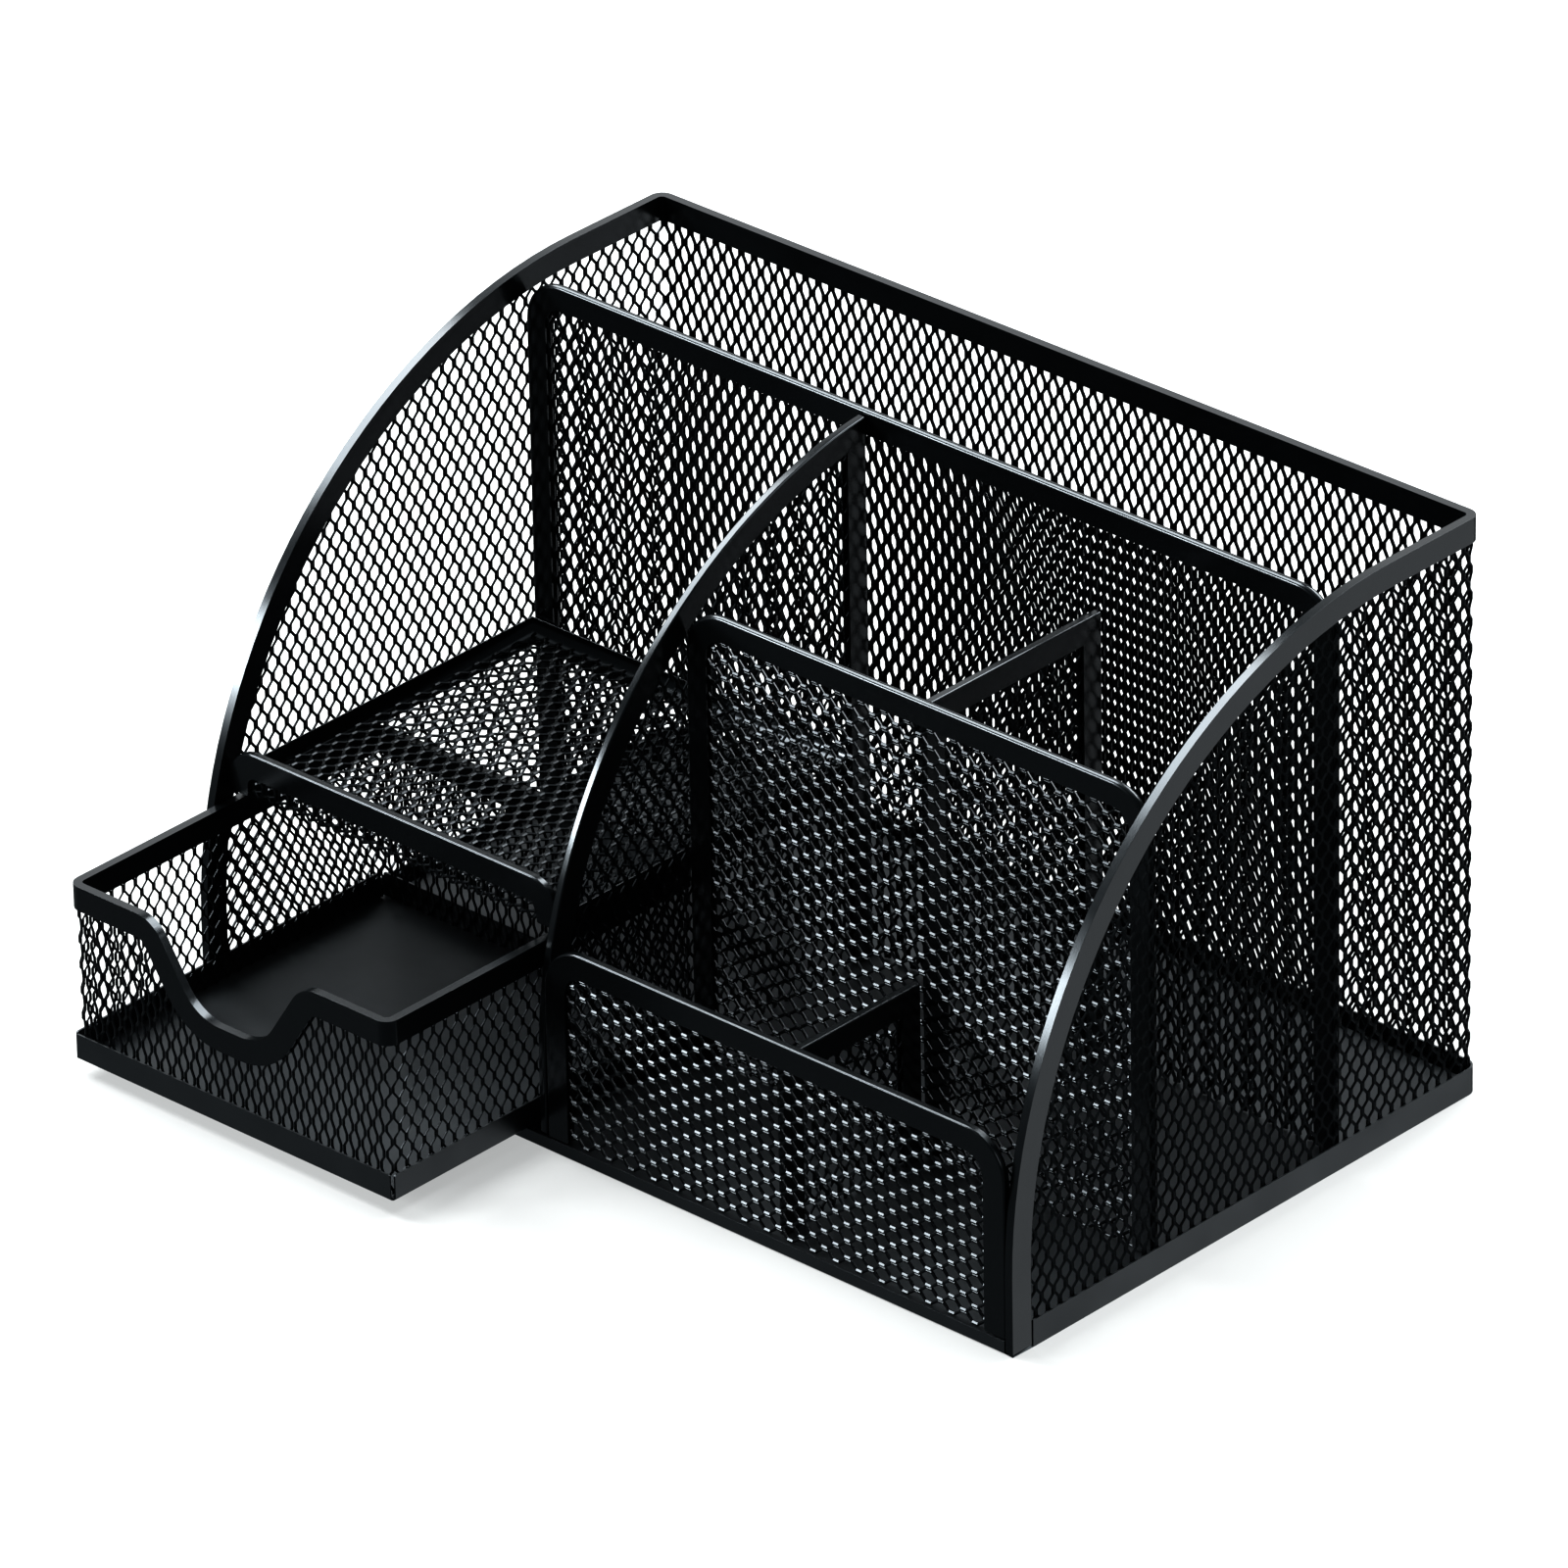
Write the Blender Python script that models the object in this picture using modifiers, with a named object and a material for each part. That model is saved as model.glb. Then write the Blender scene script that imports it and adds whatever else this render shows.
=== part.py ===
"""Desk organizer: a black expanded-mesh housing with a letter slot, four pen and note bays, a shelf and a drawer.

Every piece is thin steel. Mesh sheets have their raw edges folded into U-shaped strips, and stand in
shallow sheet trays. Metres, +Z up. The drawer stands partly pulled out, and the origin is the middle of
the whole object's footprint then, on the desk: +X runs to the right along the front, +Y to the back.
"""

import math

import bmesh
import bpy
from mathutils import Vector

# Overall size of the housing
WIDTH = 0.220
DEPTH = 0.140
HEIGHT = 0.130

# Gauges and clearances
MESH_GAUGE = 0.0005
STRIP_GAUGE = 0.0004
TRAY_GAUGE = 0.0004
GAP = 0.0003
BAND = 0.0055  # how far a folded strip covers its sheet
CORNER_RADIUS = 0.002  # mesh walls, at the middle of the sheet
PANEL_CORNER_RADIUS = 0.010  # the rounded top corners of the cross panels

# Housing
ARC_RADIUS = 0.1125
FLOOR_TOP = 0.003  # the tray's floor is pressed up from the desk
FLANGE_HEIGHT = 0.006
CHANNEL_WIDTH = 0.0022  # the groove around the floor, where the walls stand
LETTER_SLOT_DEPTH = 0.0387
REAR_DIVIDER_DROP = 0.0025  # below the housing's top
CENTRE_DIVIDER_DROP = 0.0006  # below the rear divider's top
CENTRE_ARC_RADIUS = 0.1072
FRONT_BAY_DEPTH = 0.0408
MIDDLE_DIVIDER_TOP = 0.106
REAR_BAY_DIVIDER_TOP = 0.104
FRONT_PANEL_TOP = 0.0475
FRONT_BAY_DIVIDER_TOP = 0.043

# Shelf over the drawer bay
SHELF_Z = 0.0455
SHELF_LIP_RISE = 0.0105
SHELF_LIP_SETBACK = 0.008
SHELF_LIP_CORNER_RADIUS = 0.0075
SHELF_STRIP_RISE = 0.0035
SHELF_STRIP_LEG = 0.003
SHELF_STRIP_SETBACK = 0.004  # behind the lip

# Drawer
DRAWER_WIDTH = 0.0888
DRAWER_LEFT_PLAY = 0.0004
DRAWER_RIGHT_PLAY = 0.0024
DRAWER_REAR_PLAY = 0.0009
DRAWER_FLOOR_PLAY = 0.0006
DRAWER_TOP_PLAY = 0.0008
DRAWER_PULL = 0.0465  # out from closed, where its front is flush with the shelf's lip
DRAWER_FLANGE_HEIGHT = 0.0057
DRAWER_CORNER_CUT = 0.0006  # where the tray's folded-up edges nearly meet
SCOOP_HALF_WIDTH = 0.025
SCOOP_FLAT = 0.003
SCOOP_DEPTH = 0.018
SCOOP_BOTTOM_RADIUS = 0.011
SCOOP_TOP_RADIUS = 0.008

# Facets
ARC_STEPS = 32
CORNER_STEPS = 6
SMALL_ARC_STEPS = 9

# Worked out from the sizes above
STRIP_HALF = MESH_GAUGE / 2 + GAP + STRIP_GAUGE  # from the sheet's middle to the strip's outer face
SHEET_INSET = STRIP_GAUGE + GAP  # the sheet's edge inside its fold
WALL_FOOT = TRAY_GAUGE + GAP
PANEL_FOOT = FLOOR_TOP + GAP
FRONT = -DEPTH / 2
WALL_X = WIDTH / 2 - STRIP_HALF
WALL_Y = DEPTH / 2 - STRIP_HALF
STRIP_FACE_X = WALL_X - STRIP_HALF  # inner face of the side walls' strips
MESH_FACE_X = WALL_X - MESH_GAUGE / 2
REAR_DIVIDER_Y = WALL_Y - 2 * STRIP_HALF - LETTER_SLOT_DEPTH
REAR_DIVIDER_TOP = HEIGHT - REAR_DIVIDER_DROP
CENTRE_DIVIDER_TOP = REAR_DIVIDER_TOP - CENTRE_DIVIDER_DROP
CENTRE_DIVIDER_X = -STRIP_FACE_X + DRAWER_LEFT_PLAY + DRAWER_WIDTH + DRAWER_RIGHT_PLAY + STRIP_HALF
FRONT_PANEL_Y = FRONT + GAP + STRIP_HALF
MIDDLE_DIVIDER_Y = FRONT_PANEL_Y + 2 * STRIP_HALF + FRONT_BAY_DEPTH
BAY_DIVIDER_X = (CENTRE_DIVIDER_X + STRIP_HALF + MESH_FACE_X) / 2
SHELF_LIP_Y = FRONT + SHELF_LIP_SETBACK
SHELF_STRIP_UNDER = SHELF_Z - MESH_GAUGE / 2 - GAP - STRIP_GAUGE
DRAWER_FRONT = SHELF_LIP_Y - STRIP_HALF - DRAWER_PULL
BOX_MIDDLE_Y = (DRAWER_FRONT + DEPTH / 2) / 2

UP = Vector((0, 0, 1))


def clear_scene():
    for obj in list(bpy.data.objects):
        bpy.data.objects.remove(obj, do_unlink=True)


def make_collection(name):
    collection = bpy.data.collections.new(name)
    bpy.context.scene.collection.children.link(collection)
    return collection


def make_material(name, colour, roughness):
    material = bpy.data.materials.new(name)
    material.use_nodes = True
    shader = material.node_tree.nodes["Principled BSDF"]
    shader.inputs["Base Color"].default_value = (*colour, 1)
    shader.inputs["Roughness"].default_value = roughness
    return material


def add_object(name, data, material):
    data.materials.append(material)
    obj = bpy.data.objects.new(name, data)
    PARTS.objects.link(obj)
    return obj


def stand_across(obj, y):
    """Turns a flat piece drawn in X and Y upright, across the housing, at this depth."""
    obj.rotation_euler = (math.radians(90), 0, 0)
    obj.location = (0, y, 0)


def stand_along(obj, x):
    """Turns a flat piece drawn in X and Y upright, running front to back, at this place."""
    obj.rotation_euler = (math.radians(90), 0, math.radians(90))
    obj.location = (x, 0, 0)


def arc_points(centre, radius, start, end, steps):
    """Points on an arc between two angles in degrees, both ends included."""
    angles = [math.radians(start + (end - start) * i / steps) for i in range(steps + 1)]
    return [Vector((centre[0] + radius * math.cos(a), centre[1] + radius * math.sin(a))) for a in angles]


def arch_path(left, right, bottom, top, radius):
    """From one foot over the rounded shoulders to the other foot."""
    return [
        Vector((left, bottom)),
        *arc_points((left + radius, top - radius), radius, 180, 90, SMALL_ARC_STEPS),
        *arc_points((right - radius, top - radius), radius, 90, 0, SMALL_ARC_STEPS),
        Vector((right, bottom)),
    ]


def square_path(left, right, bottom, top):
    return [Vector(p) for p in ((left, bottom), (left, top), (right, top), (right, bottom))]


def outward(path):
    """The direction out of an open clockwise path at each point, lengthened where it has to mitre."""
    sides = [(b - a).normalized() for a, b in zip(path, path[1:])]
    normals = [Vector((-side.y, side.x)) for side in sides]
    found = [normals[0]]
    for before, after in zip(normals, normals[1:]):
        middle = (before + after).normalized()
        found.append(middle / middle.dot(before))
    return [*found, normals[-1]]


def solid_sheet(name, outline, gauge, material):
    """A flat sheet with this outline, in the XY plane."""
    curve = bpy.data.curves.new(name, "CURVE")
    curve.dimensions = "2D"
    curve.fill_mode = "BOTH"
    curve.extrude = gauge / 2
    spline = curve.splines.new("POLY")
    spline.points.add(len(outline) - 1)
    for point, place in zip(spline.points, outline):
        point.co = (place.x, place.y, 0, 1)
    spline.use_cyclic_u = True
    return add_object(name, curve, material)


def solid_surface(name, rows, gauge, material, closed=False, smooth=False):
    """A strip or wall of one gauge: rows of points joined in turn, then thickened about its middle."""
    bm = bmesh.new()
    grid = [[bm.verts.new(place) for place in row] for row in rows]
    pairs = list(zip(grid, grid[1:]))
    if closed:
        pairs.append((grid[-1], grid[0]))
    for here, there in pairs:
        for i in range(len(here) - 1):
            bm.faces.new((here[i], there[i], there[i + 1], here[i + 1]))
    mesh = bpy.data.meshes.new(name)
    bm.to_mesh(mesh)
    bm.free()
    obj = add_object(name, mesh, material)
    thicken(obj, gauge)
    if smooth:
        mesh.shade_smooth()
        mesh.set_sharp_from_angle(angle=math.radians(30))
    return obj


def thicken(obj, gauge):
    solidify = obj.modifiers.new("gauge", "SOLIDIFY")
    solidify.thickness = gauge
    solidify.offset = 0
    solidify.use_even_offset = True
    solidify.use_quality_normals = True


def folded_strip(name, stations, closed=False):
    """A U-shaped strip over a sheet's edge. A station is (edge point, across the sheet, outward)."""
    half = STRIP_HALF - STRIP_GAUGE / 2
    crown = -STRIP_GAUGE / 2
    section = ((-half, -BAND), (-half, crown), (half, crown), (half, -BAND))
    rows = [[p + across * s + out * t for s, t in section] for p, across, out in stations]
    return solid_surface(name, rows, STRIP_GAUGE, STRIP_PAINT, closed, smooth=True)


def framed_panel(name, path, stand, place):
    """A flat mesh panel whose free edges, along the path, are covered by a folded strip."""
    out = outward(path)
    sheet = solid_sheet(
        name + "_mesh",
        [p - n * SHEET_INSET for p, n in zip(path, out)],
        MESH_GAUGE,
        MESH_PAINT,
    )
    strip = folded_strip(name + "_rim", [(p.to_3d(), UP, n.to_3d()) for p, n in zip(path, out)])
    stand(sheet, place)
    stand(strip, place)


def housing_stations():
    """The housing's top edge: up the left arc, round the back and down the right arc."""
    centre = Vector((FRONT + ARC_RADIUS, HEIGHT - ARC_RADIUS))
    side = [(Vector((FRONT, WALL_FOOT)), Vector((-1, 0)))]
    for point in arc_points(centre, ARC_RADIUS, 180, 90, ARC_STEPS):
        side.append((point, (point - centre).normalized()))
    left = [(Vector((-WALL_X, *p)), Vector((-1, 0, 0)), Vector((0, *out))) for p, out in side]
    right = [(Vector((WALL_X, *p)), Vector((1, 0, 0)), Vector((0, *out))) for p, out in reversed(side)]
    rear = []
    for centre_x, start in ((CORNER_RADIUS - WALL_X, 180), (WALL_X - CORNER_RADIUS, 90)):
        centre = Vector((centre_x, WALL_Y - CORNER_RADIUS))
        for point in arc_points(centre, CORNER_RADIUS, start, start - 90, CORNER_STEPS):
            rear.append((Vector((*point, HEIGHT)), (point - centre).normalized().to_3d(), UP))
    return left + rear + right


def wall_rows(stations, foot):
    """A wall's rows, from its foot to the edge that its strip covers."""
    rows = []
    for point, _, out in stations:
        edge = point - out * SHEET_INSET
        rows.append([Vector((edge.x, edge.y, foot)), edge])
    return rows


def make_housing():
    stations = housing_stations()
    solid_surface("housing_mesh", wall_rows(stations[1:-1], WALL_FOOT), MESH_GAUGE, MESH_PAINT)
    folded_strip("housing_rim", stations)


def tray_line(inset, radius):
    """Around the sides and the back, from the front left to the front right, this far inside the housing."""
    x = WIDTH / 2 - inset
    y = DEPTH / 2 - inset
    behind_leg = FRONT + BAND + GAP + TRAY_GAUGE / 2
    return [
        Vector((-x, FRONT + TRAY_GAUGE / 2)),
        Vector((-x, behind_leg)),
        *arc_points((radius - x, y - radius), radius, 180, 90, CORNER_STEPS),
        *arc_points((x - radius, y - radius), radius, 90, 0, CORNER_STEPS),
        Vector((x, behind_leg)),
        Vector((x, FRONT + TRAY_GAUGE / 2)),
    ]


def make_base_tray():
    """A raised floor. Its front edge is turned down to the desk, and the others down, out and up."""
    half = TRAY_GAUGE / 2
    outer_radius = CORNER_RADIUS + STRIP_HALF - half
    inner = tray_line(half + CHANNEL_WIDTH, outer_radius - CHANNEL_WIDTH)
    outer = tray_line(half, outer_radius)
    bm = bmesh.new()
    floor = [bm.verts.new((*p, FLOOR_TOP - half)) for p in inner]
    low = [bm.verts.new((*p, half)) for p in inner]
    ledge = [bm.verts.new((*p, half)) for p in outer]
    flange = [bm.verts.new((*p, FLANGE_HEIGHT)) for p in outer[1:-1]]
    bm.faces.new(floor)
    join_rows(bm, [*low, low[0]], [*floor, floor[0]])
    join_rows(bm, ledge, low)
    join_rows(bm, flange, ledge[1:-1])
    tray_object("base_tray", bm)


def join_rows(bm, row, other):
    for i in range(len(row) - 1):
        bm.faces.new((row[i], row[i + 1], other[i + 1], other[i]))


def tray_object(name, bm):
    bmesh.ops.recalc_face_normals(bm, faces=bm.faces)
    mesh = bpy.data.meshes.new(name)
    bm.to_mesh(mesh)
    bm.free()
    obj = add_object(name, mesh, TRAY_PAINT)
    thicken(obj, TRAY_GAUGE)
    return obj


def centre_divider_path():
    """Seen from the side: up its front, over the arc, and down its rear edge at the rear divider."""
    front = FRONT + GAP
    rear = REAR_DIVIDER_Y - STRIP_HALF - GAP
    centre = Vector((front + CENTRE_ARC_RADIUS, CENTRE_DIVIDER_TOP - CENTRE_ARC_RADIUS))
    level = max(rear - centre.x, 0)
    end = 90 if level else math.degrees(math.acos((rear - centre.x) / CENTRE_ARC_RADIUS))
    top = [Vector((rear, CENTRE_DIVIDER_TOP))] if level else []
    arc = arc_points(centre, CENTRE_ARC_RADIUS, 180, end, ARC_STEPS)
    return [Vector((front, PANEL_FOOT)), *arc, *top, Vector((rear, PANEL_FOOT))]


def make_dividers():
    reach = MESH_FACE_X - GAP
    bay_left = CENTRE_DIVIDER_X + STRIP_HALF + GAP
    clear = STRIP_HALF + GAP
    path = arch_path(-reach, reach, PANEL_FOOT, REAR_DIVIDER_TOP, PANEL_CORNER_RADIUS)
    framed_panel("rear_divider", path, stand_across, REAR_DIVIDER_Y)
    framed_panel("centre_divider", centre_divider_path(), stand_along, CENTRE_DIVIDER_X)
    path = arch_path(bay_left, reach, PANEL_FOOT, MIDDLE_DIVIDER_TOP, PANEL_CORNER_RADIUS)
    framed_panel("middle_divider", path, stand_across, MIDDLE_DIVIDER_Y)
    path = arch_path(bay_left, STRIP_FACE_X - GAP, PANEL_FOOT, FRONT_PANEL_TOP, PANEL_CORNER_RADIUS)
    framed_panel("front_panel", path, stand_across, FRONT_PANEL_Y)
    path = square_path(MIDDLE_DIVIDER_Y + clear, REAR_DIVIDER_Y - clear, PANEL_FOOT, REAR_BAY_DIVIDER_TOP)
    framed_panel("rear_bay_divider", path, stand_along, BAY_DIVIDER_X)
    path = square_path(FRONT_PANEL_Y + clear, MIDDLE_DIVIDER_Y - clear, PANEL_FOOT, FRONT_BAY_DIVIDER_TOP)
    framed_panel("front_bay_divider", path, stand_along, BAY_DIVIDER_X)


def side_strip_back(height):
    """How far back the side wall's folded strip reaches at this height."""
    above = max(height - (HEIGHT - ARC_RADIUS), 0)
    return FRONT + ARC_RADIUS - math.sqrt((ARC_RADIUS - BAND) ** 2 - above**2)


def make_shelf():
    """A mesh floor with a turned-up front lip, carried by an angle strip on its other three sides."""
    half = STRIP_GAUGE / 2
    left = -MESH_FACE_X + GAP + half
    right = CENTRE_DIVIDER_X - STRIP_HALF - GAP - half
    rear = REAR_DIVIDER_Y - STRIP_HALF - GAP - half
    top = SHELF_Z + SHELF_STRIP_RISE
    front = max(SHELF_LIP_Y + SHELF_STRIP_SETBACK, side_strip_back(top) + GAP)
    low = SHELF_STRIP_UNDER + half
    rows = []
    corners = ((left, front, 1, 0), (left, rear, 1, -1), (right, rear, -1, -1), (right, front, -1, 0))
    for x, y, in_x, in_y in corners:
        corner = Vector((x, y, low))
        rise = Vector((0, 0, top - low))
        leg = Vector((in_x, in_y, 0)) * SHELF_STRIP_LEG
        rows.append([corner + rise, corner, corner + leg])
    solid_surface("shelf_edge_strip", rows, STRIP_GAUGE, STRIP_PAINT)

    lip_top = SHELF_Z + SHELF_LIP_RISE
    lip_foot = SHELF_Z + MESH_GAUGE / 2 + GAP
    lip_right = CENTRE_DIVIDER_X - STRIP_HALF - GAP
    path = arch_path(GAP - STRIP_FACE_X, lip_right, lip_foot, lip_top, SHELF_LIP_CORNER_RADIUS)
    forward = Vector((0, -1, 0))
    stations = [
        (Vector((p.x, SHELF_LIP_Y, p.y)), forward, Vector((n.x, 0, n.y)))
        for p, n in zip(path, outward(path))
    ]
    folded_strip("shelf_rim", stations)

    rows = []
    for point, _, out in stations[1:-1]:
        edge = point - out * SHEET_INSET
        x = min(max(edge.x, left + half + GAP), right - half - GAP)
        back = Vector((x, rear - half - GAP, SHELF_Z))
        rows.append([back, Vector((x, SHELF_LIP_Y, SHELF_Z)), Vector((x, SHELF_LIP_Y, edge.z))])
    solid_surface("shelf_mesh", rows, MESH_GAUGE, MESH_PAINT)


def scoop_path(top):
    """The drawer front's top edge from left to right: (point, outward) down into the scoop and up again."""
    reach = SCOOP_HALF_WIDTH - SCOOP_FLAT
    radii = SCOOP_BOTTOM_RADIUS + SCOOP_TOP_RADIUS
    rise = radii - SCOOP_DEPTH
    slope = math.degrees(math.asin(radii / math.hypot(reach, rise)) - math.atan2(rise, reach))
    shoulder = Vector((-SCOOP_HALF_WIDTH, top - SCOOP_TOP_RADIUS))
    hollow = Vector((-SCOOP_FLAT, top - SCOOP_DEPTH + SCOOP_BOTTOM_RADIUS))
    half = []
    for point in arc_points(shoulder, SCOOP_TOP_RADIUS, 90, 90 - slope, SMALL_ARC_STEPS):
        half.append((point, (point - shoulder).normalized()))
    for point in arc_points(hollow, SCOOP_BOTTOM_RADIUS, 270 - slope, 270, SMALL_ARC_STEPS):
        half.append((point, (hollow - point).normalized()))
    other = [(Vector((-p.x, p.y)), Vector((-out.x, out.y))) for p, out in reversed(half)]
    return half + other


def drawer_stations(half_x, half_y, top):
    """The drawer's top edge, about its own centre: along the front and round the other three sides."""
    forward = Vector((0, -1, 0))
    stations = [
        (Vector((p.x, -half_y, p.y)), forward, Vector((out.x, 0, out.y)))
        for p, out in scoop_path(top)
    ]
    for sx, sy, start in ((1, -1, -90), (1, 1, 0), (-1, 1, 90), (-1, -1, 180)):
        centre = Vector((sx * (half_x - CORNER_RADIUS), sy * (half_y - CORNER_RADIUS)))
        for point in arc_points(centre, CORNER_RADIUS, start, start + 90, CORNER_STEPS):
            stations.append((Vector((*point, top)), (point - centre).normalized().to_3d(), UP))
    return stations


def make_drawer_tray(half_x, half_y, underside):
    """A floor with its four edges folded up, and a slit at each corner."""
    x = half_x - TRAY_GAUGE / 2
    y = half_y - TRAY_GAUGE / 2
    cut = DRAWER_CORNER_CUT
    around = [(-x, cut - y), (-x, y - cut), (cut - x, y), (x - cut, y)]
    around += [(-a, -b) for a, b in around]
    bm = bmesh.new()
    floor = [bm.verts.new((*p, underside + TRAY_GAUGE / 2)) for p in around]
    bm.faces.new(floor)
    for i in range(0, len(around), 2):
        edge = [bm.verts.new((*p, underside + DRAWER_FLANGE_HEIGHT)) for p in around[i : i + 2]]
        join_rows(bm, edge, floor[i : i + 2])
    return tray_object("drawer_tray", bm)


def make_drawer():
    closed_rear = REAR_DIVIDER_Y - STRIP_HALF - DRAWER_REAR_PLAY
    depth = closed_rear - SHELF_LIP_Y + STRIP_HALF
    half_x = DRAWER_WIDTH / 2
    half_y = depth / 2
    underside = FLOOR_TOP + DRAWER_FLOOR_PLAY
    foot = underside + TRAY_GAUGE + GAP
    slide = bpy.data.objects.new("drawer_slide", None)
    slide.location = (half_x + DRAWER_LEFT_PLAY - STRIP_FACE_X, closed_rear - half_y - DRAWER_PULL, 0)
    PARTS.objects.link(slide)

    top = SHELF_STRIP_UNDER - DRAWER_TOP_PLAY
    stations = drawer_stations(half_x - STRIP_HALF, half_y - STRIP_HALF, top)
    walls = solid_surface("drawer_mesh", wall_rows(stations, foot), MESH_GAUGE, MESH_PAINT, closed=True)
    rim = folded_strip("drawer_rim", stations, closed=True)
    tray = make_drawer_tray(half_x, half_y, underside)
    for piece in (walls, rim, tray):
        piece.parent = slide


def centre_on_desk():
    """Moves everything so that the origin is the middle of the whole object's footprint."""
    for obj in PARTS.objects:
        if obj.parent is None:
            obj.location.y -= BOX_MIDDLE_Y


clear_scene()
PARTS = make_collection("desk_organizer")
BLACK = (0.012, 0.013, 0.014)
MESH_PAINT = make_material("powder_coated_mesh", BLACK, 0.38)
STRIP_PAINT = make_material("powder_coated_strip", BLACK, 0.34)
TRAY_PAINT = make_material("powder_coated_tray", BLACK, 0.42)
make_base_tray()
make_housing()
make_dividers()
make_shelf()
make_drawer()
centre_on_desk()
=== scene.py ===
# %% [markdown]
# # A desk organizer in black expanded metal
#
# The organizer is built from thin steel in three forms: expanded mesh for the walls, folded strip
# over every raw mesh edge, and shallow pressed trays for the two floors. All of it is powder coated
# satin black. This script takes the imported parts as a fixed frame, swaps the plain sheets for open
# mesh, rounds the folds and gives every surface its coating.

# %% Load the frame
import math

import bpy
import numpy as np
from mathutils import Matrix, Vector


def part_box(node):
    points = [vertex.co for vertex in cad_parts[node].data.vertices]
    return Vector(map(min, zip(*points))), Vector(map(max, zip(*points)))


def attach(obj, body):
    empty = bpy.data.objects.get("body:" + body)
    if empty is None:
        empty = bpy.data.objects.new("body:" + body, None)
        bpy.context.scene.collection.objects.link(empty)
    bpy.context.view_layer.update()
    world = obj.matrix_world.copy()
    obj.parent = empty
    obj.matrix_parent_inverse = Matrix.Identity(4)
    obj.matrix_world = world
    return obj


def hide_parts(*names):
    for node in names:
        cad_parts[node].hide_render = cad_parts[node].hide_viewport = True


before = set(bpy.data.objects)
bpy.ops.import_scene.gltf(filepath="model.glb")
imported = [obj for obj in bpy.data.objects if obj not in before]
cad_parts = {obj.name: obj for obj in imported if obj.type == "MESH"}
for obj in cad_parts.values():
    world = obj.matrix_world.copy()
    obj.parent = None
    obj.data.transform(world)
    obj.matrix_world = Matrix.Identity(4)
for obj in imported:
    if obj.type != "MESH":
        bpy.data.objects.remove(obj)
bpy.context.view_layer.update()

print("nodes:", sorted(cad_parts))

# %% [markdown]
# ## Working units and small helpers
#
# Blender works in metres, so a value in millimetres is written as a number times MM. Operators act
# on whatever is selected, so each new piece starts from an empty selection.

# %% Units and selection
MM = 0.001


def deselect_all():
    if bpy.context.mode != "OBJECT":
        bpy.ops.object.mode_set(mode="OBJECT")
    bpy.ops.object.select_all(action="DESELECT")


def pick(obj):
    """Makes this the only selected object, and the active one."""
    deselect_all()
    obj.select_set(True)
    bpy.context.view_layer.objects.active = obj


def triangles(obj):
    return sum(len(face.vertices) - 2 for face in obj.data.polygons)


# %% The sheets' gauge, measured on the frame
panel_low, panel_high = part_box("rear_divider_mesh")
SHEET_GAUGE = panel_high.y - panel_low.y
print(f"sheet gauge {SHEET_GAUGE / MM:.2f} mm")

# %% [markdown]
# ## Expanded metal, one ribbon at a time
#
# Expanded mesh starts as a flat sheet. A press cuts short staggered slits and pulls the sheet open,
# so each strip of metal between two rows of slits becomes a zigzag ribbon, and neighbouring ribbons
# stay joined at the bonds. The ribbons also twist a little out of the sheet, which is why one
# diagonal of the mesh catches the light and the other stays dark.
#
# A texture could fake this, but the gaps have to be real: light and the far walls show through
# them. So one period of a ribbon is modelled, a six-sided section extruded four times, then copied
# beside itself, and Array modifiers repeat the pair. Six sides and four steps keep a ribbon's period
# to 24 faces. The section is left flat-sided, because a slit strand has flats and sharp corners: the
# flats at the bonds all face one way, so they glint together.

# %% One period of two neighbouring ribbons
STRAND_SIDES = 6
STRAND_WIDTH = 0.88 * MM
DRAWER_STRAND_WIDTH = 0.66 * MM
STRAND_FLATNESS = 0.72  # thickness over width
UPRIGHT_TILT = math.radians(8)
LYING_TILT = math.radians(-10)
BOND_LENGTH = 1.4 * MM
BOND_OFFSET = 0.33 * MM  # from the middle of a bond to the middle of each of its two ribbons
BOND_RISE = 0.14 * MM  # of the ribbon on one side out of the sheet, and of the other into it


def extrude(step):
    bpy.ops.mesh.extrude_region_move(TRANSFORM_OT_translate={"value": step})


def ribbon_pair(name, long_way, short_way, tilt, width):
    """Two ribbons, one period long. The long way of the diamonds runs along Y."""
    across = short_way / 2 - 2 * BOND_OFFSET
    along = long_way / 2 - BOND_LENGTH
    deselect_all()
    bpy.ops.mesh.primitive_circle_add(
        vertices=STRAND_SIDES,
        radius=width / 2,
        fill_type="NOTHING",
        location=(BOND_OFFSET, -BOND_LENGTH / 2, -BOND_RISE),
        rotation=(math.pi / 2, tilt, 0),
    )
    pair = bpy.context.active_object
    pair.name = name
    pair.scale = (1, STRAND_FLATNESS, 1)
    bpy.ops.object.transform_apply(location=True, rotation=True, scale=True)
    bpy.ops.object.mode_set(mode="EDIT")
    bpy.ops.mesh.select_mode(type="VERT")
    bpy.ops.mesh.select_all(action="SELECT")
    extrude((0, BOND_LENGTH, 0))
    extrude((across, along, 2 * BOND_RISE))
    extrude((0, BOND_LENGTH, 0))
    extrude((-across, along, -2 * BOND_RISE))
    bpy.ops.mesh.select_all(action="SELECT")
    bpy.ops.mesh.normals_make_consistent(inside=False)
    bpy.ops.mesh.duplicate_move(TRANSFORM_OT_translate={"value": (short_way / 2, long_way / 2, 0)})
    bpy.ops.object.mode_set(mode="OBJECT")
    return pair


# %% [markdown]
# ## From one pair to a trimmed sheet
#
# A press makes mesh by the metre, and each panel is cut from it. The same order works here: two Array
# modifiers make the stock, and the panel's outline then decides which segments stay. Whole segments
# are kept or dropped, because their cut ends are hidden in the folded strip. Only a straight foot,
# which shows, is cut with Bisect, and the open ends are closed.

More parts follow.
